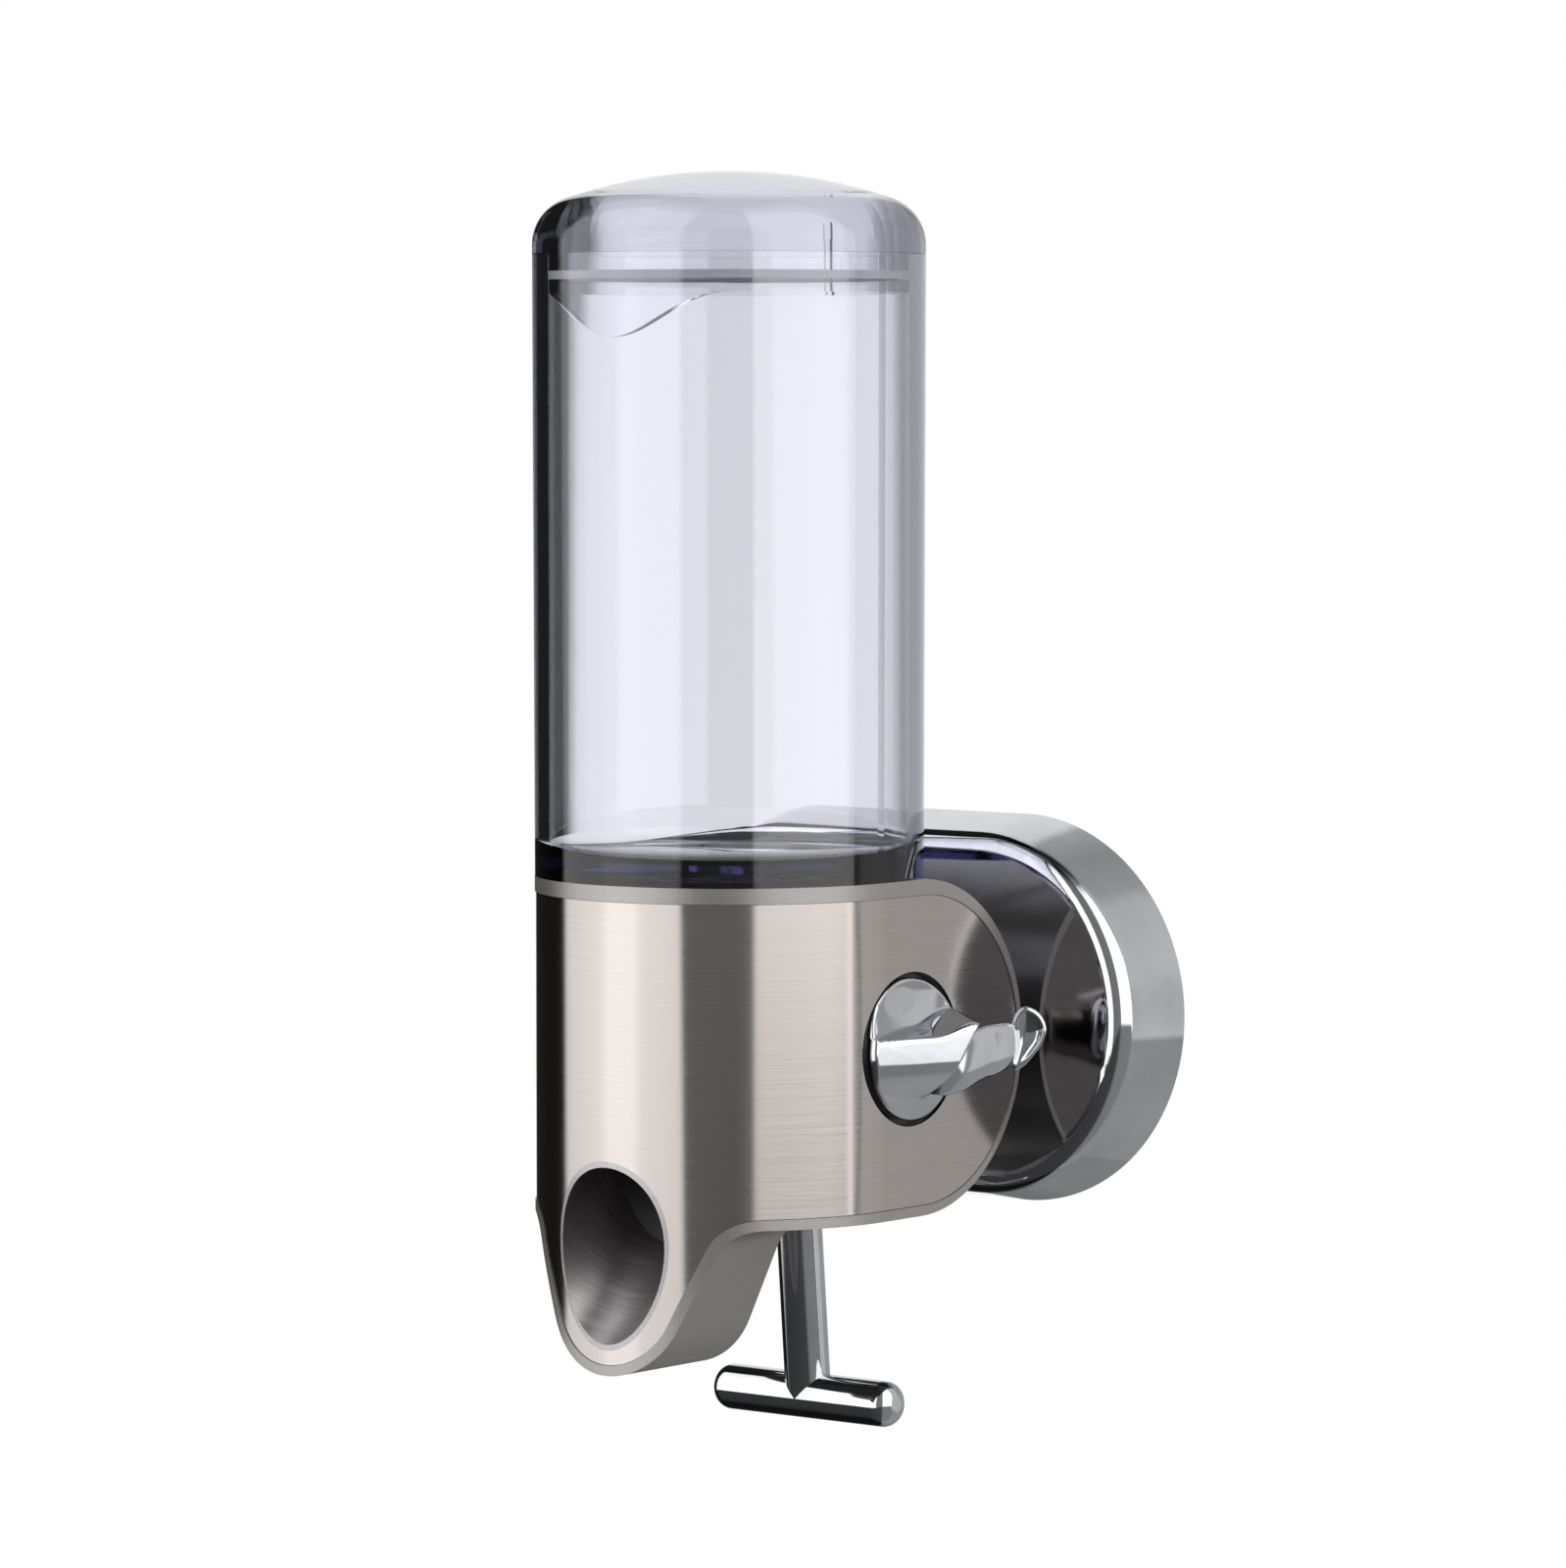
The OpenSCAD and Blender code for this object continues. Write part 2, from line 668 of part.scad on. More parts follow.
module lid() color("#b9bfe6", 0.5) translate([0, axis_y, 0]) {
    tab_w = skirt_r * sin(tab_half_angle);
    steps = 24;
    difference() {
        union() {
            rotate_extrude($fn = 180) lid_section(seam_r, shoulder_r, dome_r, lid_rise);
            translate([0, 0, seam_z - skirt_l]) cylinder(h = skirt_l + eps, r = skirt_r, $fn = 180);
            // Front tab of the skirt, whose lower edge is one smooth wave
            intersection() {
                translate([0, 0, seam_z - tab_l]) cylinder(h = tab_l, r = skirt_r, $fn = 180);
                along_y(-skirt_r, 0) polygon(concat(
                    [[tab_w, seam_z - skirt_l + 1], [-tab_w, seam_z - skirt_l + 1]],
                    [for (i = [0:steps]) let (u = 2 * i / steps - 1)
                        [u * tab_w, seam_z - skirt_l - (tab_l - skirt_l) * (1 + cos(180 * u)) / 2]]));
            }
        }
        rotate_extrude($fn = 180)
            lid_section(skirt_in, shoulder_r - lid_t, dome_r - lid_t, lid_rise - lid_t);
        translate([0, 0, seam_z - tab_l - 1]) cylinder(h = tab_l + 1 + eps, r = skirt_in, $fn = 180);
        translate([0, 0, seam_z - gasket_drop - gasket_h]) difference() {
            cylinder(h = gasket_h, r = skirt_r + 1, $fn = 180);
            translate([0, 0, -1]) cylinder(h = gasket_h + 2, r = groove_r, $fn = 180);
        }
    }
    // Rib at the back that stiffens the skirt
    translate([-0.7, skirt_in - 1.2, seam_z - skirt_l]) cube([1.4, 1.5, skirt_l + 4]);
}

module lid_gasket() color("#8f8f98") translate([0, axis_y, seam_z - gasket_drop - gasket_h]) difference() {
    cylinder(h = gasket_h, r = mouth_r - gasket_gap, $fn = 180);
    translate([0, 0, -1]) cylinder(h = gasket_h + 2, r = groove_r, $fn = 180);
}

// ---- Pump ----

module pump_barrel() color("#dcdcd6") translate([0, axis_y, 0]) difference() {
    union() {
        translate([0, 0, barrel_end]) cylinder(h = neck_end - barrel_end, r = barrel_r);
        translate([0, 0, chamber_top]) cylinder(h = inlet_plate_t + 7, r = neck_d / 2 + 2);
    }
    translate([0, 0, neck_end]) cylinder(h = 10, r = neck_d / 2 + snug);
    translate([0, 0, barrel_end - 1]) cylinder(h = chamber_l + 1, d = barrel_bore);
    translate([0, 0, chamber_top - 1]) cylinder(h = inlet_plate_t + 2, r = 1.2);
    for (a = [0:60:300]) rotate(a) translate([3.4, 0, chamber_top - 1])
        cylinder(h = inlet_plate_t + 2, r = 0.9);
    translate([0, 0, port_z]) rotate([90, 0, 0]) cylinder(h = 20, r = pipe_d / 2 + snug);
}

// Rubber flap under the inlet holes, held by its stem.
module inlet_valve() color("#4a4a4c") translate([0, axis_y, 0]) {
    translate([0, 0, chamber_top - 1]) cylinder(h = 1, r = 4.8);
    translate([0, 0, chamber_top - 0.5]) cylinder(h = inlet_plate_t + 0.5 + eps, r = 1.2 - snug);
    translate([0, 0, neck_end]) cylinder(h = 1.5, r1 = 2, r2 = 1);
}

module barrel_cap() color("#c8c8c2") translate([0, axis_y, barrel_end - cap_t]) difference() {
    cylinder(h = cap_t + 5, r = cap_r);
    translate([0, 0, cap_t]) cylinder(h = 10, r = barrel_r + snug);
    translate([0, 0, -1]) cylinder(h = cap_t + 2, r = piston_rod_d / 2 + running);
}

module piston() color("#efefe9") translate([0, axis_y, 0]) difference() {
    union() {
        translate([0, 0, piston_bottom]) cylinder(h = piston_l, r = barrel_bore / 2 - 0.08);
        translate([0, 0, foot_z + 1]) cylinder(h = piston_bottom - foot_z, d = piston_rod_d);
    }
    translate([0, 0, piston_bottom + piston_l / 2 - 0.8]) difference() {
        cylinder(h = 1.6, r = barrel_bore);
        translate([0, 0, -1]) cylinder(h = 4, r = barrel_bore / 2 - 1.65);
    }
}

module piston_seal() color("#2e2e30") translate([0, axis_y, piston_bottom + piston_l / 2])
    rotate_extrude() translate([barrel_bore / 2 - 0.85, 0]) circle(r = 0.8, $fn = 32);

module piston_foot() color("#efefe9") translate([0, axis_y, foot_z]) difference() {
    cylinder(h = foot_t, d = foot_d);
    translate([0, 0, 1]) cylinder(h = foot_t, r = piston_rod_d / 2 + snug);
}

// Closed and flat at both ends, free between the cap and the foot.
module pump_spring() color("#b0b4b8") {
    low = foot_z + foot_t;
    high = barrel_end - cap_t;
    wire_r = spring_wire / 2;
    coil_r = piston_rod_d / 2 + 0.8 + wire_r;
    sides = 8;
    rings = 24 * spring_turns;
    span = high - low - spring_wire;
    points = [for (i = [0:rings], j = [0:sides - 1])
        let (a = 15 * i, b = 360 * j / sides, r = coil_r + wire_r * cos(b))
            [r * cos(a), axis_y + r * sin(a), low + wire_r + span * i / rings + wire_r * sin(b)]];
    walls = [for (i = [0:rings - 1], j = [0:sides - 1])
        let (k = (j + 1) % sides)
            [i * sides + j, (i + 1) * sides + j, (i + 1) * sides + k, i * sides + k]];
    ends = [[for (j = [0:sides - 1]) j], [for (j = [sides - 1:-1:0]) rings * sides + j]];
    polyhedron(points = points, faces = concat(walls, ends));
}

// ---- Lever ----

module lever_hub() color("#77797c") difference() {
    union() {
        rod_x(hub_r, -hub_half, hub_half, pivot_y, pivot_z);
        translate([0, pivot_y, pivot_z]) rotate([rod_lean, 0, 0]) translate([0, 0, -14])
            cylinder(h = 14, r = hub_r);
        along_x(10) {
            knee = [axis_y + knee_back, nose_z];
            link([pivot_y, pivot_z], knee, 2 * nose_r);
            link(knee, [axis_y, nose_z], 2 * nose_r);
        }
    }
    rod_x(pin_d / 2 + bush_wall + snug, -far, far, pivot_y, pivot_z);
    translate([0, pivot_y, pivot_z]) rotate([rod_lean, 0, 0]) translate([0, 0, -15])
        cylinder(h = 9, r = bar_d / 2 + snug);
}

module lever_bushes() color("#e9e5d8") for (m = [0, 1]) mirror([m, 0, 0]) difference() {
    union() {
        rod_x(pin_d / 2 + bush_wall, hub_half - 6, hub_half, pivot_y, pivot_z);
        rod_x(pin_d / 2 + bush_wall + 1.6, hub_half, hub_half + 0.8, pivot_y, pivot_z);
    }
    rod_x(pin_d / 2 + running, 0, far, pivot_y, pivot_z);
}

module lever_rod() color("#c4c6c9") difference() {
    translate([0, pivot_y, pivot_z]) rotate([rod_lean, 0, 0]) translate([0, 0, -rod_l])
        cylinder(h = rod_l - 6, d = bar_d);
    rod_x(bar_d / 2, -bar_l, bar_l, bar_y, bar_z);
}

module crossbar() color("#c4c6c9") translate([0, bar_y, bar_z]) rotate([0, 90, 0]) {
    edge_r = 3.4;
    rotate_extrude() {
        intersection() {
            for (m = [-1, 1]) translate([bar_d / 2 - edge_r, m * (bar_l / 2 - edge_r)])
                circle(r = edge_r);
            translate([0, -bar_l / 2]) square([bar_d, bar_l]);
        }
        translate([0, edge_r - bar_l / 2]) square([bar_d / 2, bar_l - 2 * edge_r]);
        translate([0, -bar_l / 2]) square([bar_d / 2 - edge_r, bar_l]);
    }
}

module pivot_pin() color("#a9abae") difference() {
    rod_x(pin_d / 2, -ear_out - 2.2, ear_out + 2.2, pivot_y, pivot_z);
    for (m = [0, 1]) mirror([m, 0, 0]) difference() {
        rod_x(pin_d, ear_out + 0.4, ear_out + 0.4 + clip_t, pivot_y, pivot_z);
        rod_x(pin_d / 2 - 0.6, 0, far, pivot_y, pivot_z);
    }
}

module pin_clips() color("#55575a") for (m = [0, 1]) mirror([m, 0, 0])
    clip_x(pin_d / 2 - 0.6, pin_d / 2 + 2, ear_out + 0.4, pivot_y, pivot_z);

// ---- Lock ----

// A round base, a low crown, and a flat lever that runs back to an upturned tip.
module lock_knob() color("#d2d4d6") difference() {
    base_top = knob_x + knob_base_t;
    crown_r = (pow(knob_d / 2, 2) + pow(knob_crown, 2)) / (2 * knob_crown);
    union() {
        rod_x(knob_d / 2, knob_x, base_top, lock_y, mid_z);
        intersection() {
            rod_x(knob_d / 2, knob_x, far, lock_y, mid_z);
            translate([base_top + knob_crown - crown_r, lock_y, mid_z]) sphere(r = crown_r, $fn = 180);
        }
        translate([base_top, lock_y, mid_z]) {
            hull() {
                translate([-1, -knob_d / 2 + 3, 0]) sphere(r = 2, $fn = 24);
                translate([4.5, knob_reach * 0.3, -1]) rotate([0, 90, 0])
                    cylinder(h = 4, r = 5, center = true, $fn = 32);
                translate([0, knob_reach * 0.3, -2]) rotate([0, 90, 0])
                    cylinder(h = 2, r = 6, center = true, $fn = 32);
            }
            hull() {
                translate([4.5, knob_reach * 0.3, -1]) rotate([0, 90, 0])
                    cylinder(h = 4, r = 5, center = true, $fn = 32);
                translate([6, knob_reach * 0.58, -1.4]) rotate([0, 90, 0])
                    cylinder(h = 3, r = 4.4, center = true, $fn = 32);
            }
            hull() {
                translate([6, knob_reach * 0.58, -1.4]) rotate([0, 90, 0])
                    cylinder(h = 3, r = 4.4, center = true, $fn = 32);
                translate([7.5, knob_reach - 5.5, 1.2]) rotate([0, 90, 0])
                    cylinder(h = 3.6, r = 5.5, center = true, $fn = 32);
            }
        }
    }
    rod_x(spindle_d / 2 + snug, 0, base_top + 2, lock_y, mid_z);
}

module lock_spindle() color("#85878a") difference() {
    rod_x(spindle_d / 2, prong_in - 2.2, knob_x + knob_base_t + 2, lock_y, mid_z);
    for (m = [-1, 1]) translate([0, lock_y + m * (spindle_flats / 2 + 5) - 5, mid_z - 10])
        cube([prong_out + 2, 10, 20]);
    difference() {
        rod_x(spindle_d, cheek_x - shell_t - bush_t - 1.4, cheek_x - shell_t - bush_t - 1.4 + clip_t,
              lock_y, mid_z);
        rod_x(spindle_d / 2 - 0.7, 0, far, lock_y, mid_z);
    }
}

module spindle_bush() color("#1f1f21") difference() {
    union() {
        intersection() {
            rod_x(bush_r, cheek_x - shell_t - bush_t, cheek_x - shell_t, lock_y, mid_z);
            translate([0, 0, bottom_z]) linear_extrude(height = body_h) plan(shell_t + snug);
        }
        rod_x(lock_hole_r - snug, cheek_x - shell_t - 0.4, knob_x - 0.2, lock_y, mid_z);
    }
    rod_x(spindle_d / 2 + running, 0, far, lock_y, mid_z);
}

module spindle_clip() color("#55575a")
    clip_x(spindle_d / 2 - 0.7, spindle_d / 2 + 3, cheek_x - shell_t - bush_t - 1.4, lock_y, mid_z);

module knob_washer() color("#e9e5d8") difference() {
    rod_x(spindle_d / 2 + 4, knob_x - 0.2, knob_x, lock_y, mid_z);
    rod_x(spindle_d / 2 + running, 0, far, lock_y, mid_z);
}

wall_bracket();
wall_flange();
housing();
front_cover();
floor_plate();
floor_screws();
spout_liner();
spout_plate();
nozzle();
outlet_tube();
reservoir();
reservoir_gasket();
reservoir_nut();
lid();
lid_gasket();
pump_barrel();
inlet_valve();
barrel_cap();
piston();
piston_seal();
piston_foot();
pump_spring();
lever_hub();
lever_bushes();
lever_rod();
crossbar();
pivot_pin();
pin_clips();
lock_knob();
lock_spindle();
spindle_bush();
spindle_clip();
knob_washer();
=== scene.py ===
import math

import bmesh
import bpy
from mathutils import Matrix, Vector


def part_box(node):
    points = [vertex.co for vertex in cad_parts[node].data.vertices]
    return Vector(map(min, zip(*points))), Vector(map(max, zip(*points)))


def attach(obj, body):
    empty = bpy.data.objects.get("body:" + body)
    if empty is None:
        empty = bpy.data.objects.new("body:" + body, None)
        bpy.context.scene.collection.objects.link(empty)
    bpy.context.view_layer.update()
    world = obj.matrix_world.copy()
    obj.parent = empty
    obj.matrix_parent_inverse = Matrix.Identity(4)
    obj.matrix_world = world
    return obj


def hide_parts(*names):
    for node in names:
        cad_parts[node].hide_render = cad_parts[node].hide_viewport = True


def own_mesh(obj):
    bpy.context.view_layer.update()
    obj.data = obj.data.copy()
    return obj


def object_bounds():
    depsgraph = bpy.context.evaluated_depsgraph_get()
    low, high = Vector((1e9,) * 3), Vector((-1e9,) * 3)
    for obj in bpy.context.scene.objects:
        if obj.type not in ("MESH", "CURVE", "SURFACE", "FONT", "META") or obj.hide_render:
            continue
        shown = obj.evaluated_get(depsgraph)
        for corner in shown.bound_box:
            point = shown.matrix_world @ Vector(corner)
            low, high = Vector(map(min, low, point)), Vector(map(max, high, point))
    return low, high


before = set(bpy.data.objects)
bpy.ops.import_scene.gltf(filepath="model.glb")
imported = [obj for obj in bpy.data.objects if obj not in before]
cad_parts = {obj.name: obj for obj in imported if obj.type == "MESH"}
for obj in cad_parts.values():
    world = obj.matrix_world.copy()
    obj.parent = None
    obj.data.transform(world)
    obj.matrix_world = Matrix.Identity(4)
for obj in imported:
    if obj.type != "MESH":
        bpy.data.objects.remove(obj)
cad_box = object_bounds()

# ---- Wall bracket ----
# The stainless bracket that carries the dispenser: a plate screwed to the wall and a neck with two
# prongs, machined from bar, so it keeps fine cutter lines. The flange hides its plate.


def linear(code):
    """A colour given as an sRGB hex code, in linear values."""
    parts = [int(code[i:i + 2], 16) / 255 for i in (1, 3, 5)]
    return [p / 12.92 if p <= 0.04045 else ((p + 0.055) / 1.055) ** 2.4 for p in parts] + [1.0]


def put(tree, kind, inputs=None, stops=None, **settings):
    """Adds a node. Settings are its properties, inputs a value or a link for each socket, and
    stops the places and colours of a ramp."""
    node = tree.nodes.new(kind)
    for name, value in settings.items():
        setattr(node, name, value)
    for name, value in (inputs or {}).items():
        if isinstance(value, bpy.types.NodeSocket):
            tree.links.new(value, node.inputs[name])
        else:
            node.inputs[name].default_value = value
    if stops:
        ramp = node.color_ramp.elements
        while len(ramp) < len(stops):
            ramp.new(1.0)
        for element, (place, colour) in zip(ramp, sorted(stops)):
            element.position = place
        for element, (place, colour) in zip(ramp, sorted(stops)):
            element.color = linear(colour) if isinstance(colour, str) else (*[colour] * 3, 1.0)
    return node


def finish_of(name, dark, light, grain_mm, rough, relief_mm, stretch=(1, 1, 1), turn=0.0,
              **sockets):
    """A finish with a grain: its colour runs from dark to light, its roughness between two values
    and its surface up and down by relief. Stretch makes the grain longer along an axis, and turn
    leans it about X. Sockets are plain values for the shader."""
    material = bpy.data.materials.new(name)
    material.use_nodes = True
    tree = material.node_tree
    shader = tree.nodes["Principled BSDF"]
    place = put(tree, "ShaderNodeTexCoord").outputs["Object"]
    if turn:
        place = put(tree, "ShaderNodeMapping", {
            "Vector": place, "Rotation": (turn, 0, 0)}).outputs[0]
    place = put(tree, "ShaderNodeMapping", {
        "Vector": place, "Scale": [1 / s for s in stretch]}).outputs[0]
    grain = put(tree, "ShaderNodeTexNoise", {
        "Vector": place, "Scale": 1000 / grain_mm, "Detail": 3.0, "Roughness": 0.6}).outputs["Fac"]
    colour = put(tree, "ShaderNodeValToRGB", {"Fac": grain}, stops=[(0.3, dark), (0.7, light)])
    tree.links.new(colour.outputs["Color"], shader.inputs["Base Color"])
    spread = put(tree, "ShaderNodeMapRange", {
        "Value": grain, "From Min": 0.3, "From Max": 0.7, "To Min": rough[0], "To Max": rough[1]})
    tree.links.new(spread.outputs["Result"], shader.inputs["Roughness"])
    bump = put(tree, "ShaderNodeBump", {
        "Height": grain, "Distance": relief_mm / 1000, "Strength": 1.0})
    tree.links.new(bump.outputs["Normal"], shader.inputs["Normal"])
    for socket, value in sockets.items():
        shader.inputs[socket.replace("_", " ")].default_value = value
    return material


def dress(material, *nodes):
    """Gives CAD nodes a finish."""
    for name in nodes:
        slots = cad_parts[name].data.materials
        slots.clear()
        slots.append(material)


# Milled stainless: cutter lines 0.4 mm apart along the wall dull the shine in one direction.
milled_stainless = finish_of("milled_stainless", "#85878a", "#a2a4a6", 0.4, (0.26, 0.4), 0.004,
                             stretch=(30, 1, 1), Metallic=1.0)
dress(milled_stainless, "wall_bracket", "lever_hub", "lock_spindle")

# ---- Wall flange ----
# The long round-ended cover over the bracket: a zinc casting, polished and chrome plated. Its face
# is a dark mirror of the body in front of it.

# Chrome plate: nearly a mirror, with the long low waves that buffing leaves in a casting.
bright_chrome = finish_of("bright_chrome", "#bcbec2", "#c8cace", 14, (0.035, 0.075), 0.012,
                          Metallic=1.0)
dress(bright_chrome, "wall_flange", "lever_rod", "crossbar")

# ---- Housing ----
# The body's shell: moulded ABS with a satin silver lacquer. It shows as a lip round the steel
# sheet, on the tongue's sides and under the body.

# Satin lacquer: a fine metallic speckle of 0.25 mm and a soft, broad shine.
satin_silver = finish_of("satin_silver_lacquer", "#918d8a", "#a8a4a1", 0.25, (0.3, 0.38), 0.002,
                         Metallic=0.75)
dress(satin_silver, "housing")

# ---- Front cover ----
# Stainless sheet of 0.8 mm, bent round the front and the cheeks, brushed round the body and glued
# into the shell's shallow seat.

# Brushed stainless: scratches run round the body. They smear the shine up and down and leave it
# sharp across. They are drawn 0.25 mm apart, coarser than they are, so that they show.
brushed_steel = finish_of("brushed_steel", "#aba5a1", "#b5afab", 0.25, (0.14, 0.2), 0.002,
                          stretch=(90, 90, 1), Metallic=1.0, Anisotropic=0.85,
                          Anisotropic_Rotation=0.25)
tree = brushed_steel.node_tree
around = put(tree, "ShaderNodeTangent", direction_type="RADIAL", axis="Z")
tree.links.new(around.outputs[0], tree.nodes["Principled BSDF"].inputs["Tangent"])
dress(brushed_steel, "front_cover")

# ---- Spout ----
# A slanting steel liner in the tongue, closed by a plate that holds the rubber nozzle. A soft tube
# takes the soap from the pump to the nozzle.

# Brushed tube: streaks round the bore, 0.35 mm wide, from the flap wheel that cleaned it.
SPOUT_TILT = math.radians(42)
brushed_tube = finish_of("brushed_tube", "#a19da0", "#b9b5b4", 0.35, (0.34, 0.44), 0.004,
                         stretch=(40, 1, 40), turn=-SPOUT_TILT, Metallic=1.0)
dress(brushed_tube, "spout_liner")

# Black rubber: dull, with a faint bloom.
black_rubber = finish_of("black_rubber", "#121212", "#1d1d1e", 0.2, (0.55, 0.75), 0.01)
dress(black_rubber, "nozzle", "inlet_valve", "piston_seal")

# Milky polyethylene and polypropylene: a soft sheen over a moulded surface, a little see-through.
milky_plastic = finish_of("milky_polypropylene", "#dcdcd6", "#ebebe6", 0.6, (0.32, 0.45), 0.004,
                          Subsurface_Weight=0.15, Subsurface_Scale=0.002)
dress(milky_plastic, "outlet_tube", "pump_barrel", "barrel_cap", "piston", "piston_foot",
      "lever_bushes", "reservoir_nut", "knob_washer")

# ---- Floor ----
# The plate that closes the body from below, in moulded grey nylon, held by four screws. The lever's
# rod swings in its slot, and the lever's pin sits in its two ears.

# Moulded nylon: spark-eroded texture of 0.35 mm.
grey_nylon = finish_of("grey_nylon", "#5f5d5c", "#6d6b6a", 0.35, (0.45, 0.6), 0.012)
dress(grey_nylon, "floor_plate")

# Zinc plated steel wire and screws: bluish, half bright.
zinc_plate = finish_of("zinc_plated_steel", "#a3a6aa", "#bcbfc4", 0.5, (0.2, 0.34), 0.004,
                       Metallic=1.0)
dress(zinc_plate, "floor_screws", "pivot_pin", "pin_clips", "spindle_clip")

# Black acetal of the lock's bush: smooth and dark. The spout's plate is given it as painted shade:
# its black stands in for the shade deep in the spout.
black_acetal_and_painted_shade = finish_of("black_acetal_and_painted_shade", "#0e0e0f", "#161617", 0.4, (0.3, 0.42), 0.003)
dress(black_acetal_and_painted_shade, "spindle_bush", "spout_plate")

# ---- Pump spring ----
# A coil of bright wire between the pump's cap and the piston's foot. It shortens as the foot rises.
# Here it is shown by a plain copy of its shape.


def piece(mesh, name, material, body, slot, *stands_for):
    """Shows a mesh as a piece that rides on a body."""
    made = bpy.data.objects.new(name, mesh)
    bpy.context.scene.collection.objects.link(made)
    mesh.materials.append(material)
    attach(made, body)
    if stands_for:
        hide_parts(*stands_for)
    return made


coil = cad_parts["pump_spring"].data.copy()
coil.materials.clear()
spring = piece(coil, "pump_spring_coil", zinc_plate, "body", "spring_steel", "pump_spring")
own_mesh(spring)

# ---- Reservoir and lid ----
# The soap bottle and its lid: clear acrylic, moulded and polished, with a faint violet tint that
# shows where it is looked at edge on. Grey silicone rings seal both.

# Clear acrylic: IOR 1.49, a polished surface with slow waves from the mould, and a blue-violet tint
# that deepens with the thickness.
clear_acrylic = finish_of("clear_acrylic", "#ffffff", "#ffffff", 22, (0.0, 0.012), 0.012,
                          Transmission_Weight=1.0, IOR=1.49)
tree = clear_acrylic.node_tree
tint = put(tree, "ShaderNodeVolumeAbsorption", {"Color": (0.24, 0.25, 0.48, 1), "Density": 74.0})
tree.links.new(tint.outputs[0], tree.nodes["Material Output"].inputs["Volume"])
dress(clear_acrylic, "reservoir", "lid")

# Silicone: grey, milky, with a satin face.
grey_silicone = finish_of("grey_silicone", "#d2d0d2", "#e0dee0", 0.8, (0.4, 0.5), 0.003, IOR=1.41,
                          Subsurface_Weight=0.3, Subsurface_Scale=0.002)
dress(grey_silicone, "lid_gasket", "reservoir_gasket")

# ---- Lock knob ----
# The thumb turn on the right cheek: a zinc casting, chrome plated. A disc with a scooped hollow
# carries a ridge that rises towards the wall, and a tail ends in a dished leaf for the finger.

MM = 0.001


def skin(rings, name):
    """A closed mesh through rings of points in mm. The first and last ring are capped."""
    mesh = bpy.data.meshes.new(name)
    shape = bmesh.new()
    rows = [[shape.verts.new(Vector(p) * MM) for p in ring] for ring in rings]
    for low, high in zip(rows, rows[1:]):
        for i in range(len(low)):
            j = (i + 1) % len(low)
            shape.faces.new((low[i], low[j], high[j], high[i]))
    shape.faces.new(rows[0][::-1])
    shape.faces.new(rows[-1])
    bmesh.ops.recalc_face_normals(shape, faces=shape.faces)
    for face in shape.faces:
        face.smooth = len(face.verts) == 4
    shape.to_mesh(mesh)
    shape.free()
    return mesh


def step(low, high, value):
    """Runs smoothly from 0 at low to 1 at high."""
    t = min(max((value - low) / (high - low), 0.0), 1.0)
    return t * t * (3 - 2 * t)


low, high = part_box("lock_knob")
washer_low, washer_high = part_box("knob_washer")
axis_y = (washer_low[1] + washer_high[1]) / 2 / MM
axis_z = (washer_low[2] + washer_high[2]) / 2 / MM
disc_r = axis_y - low[1] / MM
seat_x = low[0] / MM
RIM_H, RIM_EDGE, TURNED_H = 2.6, 0.55, 1.2
rim_x = seat_x + RIM_H


def knob_height(u, v):
    """How far the knob's face stands out at u towards the wall and v up from its axis."""
    # A crowned face with an oval hollow above its middle
    r = math.hypot(u, v)
    face = rim_x + 1.0 * (1 - (r / disc_r) ** 2)
    hollow = math.hypot((u + 2.0) / 12.5, (v - 7.5) / 8.5)
    face -= 2.2 * max(0.0, 1 - hollow ** 2)
    # A ridge that rises towards the wall and rounds off below
    ridge = rim_x + 0.9 + 0.32 * (u + disc_r)
    ridge -= max(0.0, -v - 2.2) ** 2 / 11
    # Its steep upper flank, whose crest climbs, and its slanting end
    crest = 2.6 + 2.1 * step(0, 9.5, u)
    over = v - crest
    ridge -= 2.6 * max(0.0, over) + 0.22 * max(0.0, over + 0.8) ** 2
    beyond = 0.858 * (u - 9.4) - 0.514 * (v - 4.65)
    ridge -= 1.1 * max(0.0, beyond) + 2.6 * max(0.0, beyond - 2.0)
    # The higher of the two, with a small fillet between them
    gap = ridge - face
    return face + (gap + math.sqrt(gap * gap + 0.06)) / 2


RINGS, AROUND = 72, 192
turns = [2 * math.pi * i / AROUND for i in range(AROUND)]
rings = []
for radius, x in ((disc_r - 0.6, seat_x), (disc_r, seat_x + 0.5)):
    rings.append([(x, axis_y + radius * math.cos(a), axis_z + radius * math.sin(a))
                  for a in turns])
for k in range(RINGS):
    radius = disc_r * (1 - k / RINGS)
    edge = RIM_EDGE * max(0.0, 1 - k / 2.5) ** 2
    ring = []
    for a in turns:
        u, v = radius * math.cos(a), radius * math.sin(a)
        ring.append((max(seat_x + TURNED_H, knob_height(u, v) - edge), axis_y + u, axis_z + v))
    rings.append(ring)
knob_disc = skin(rings, "knob_disc")

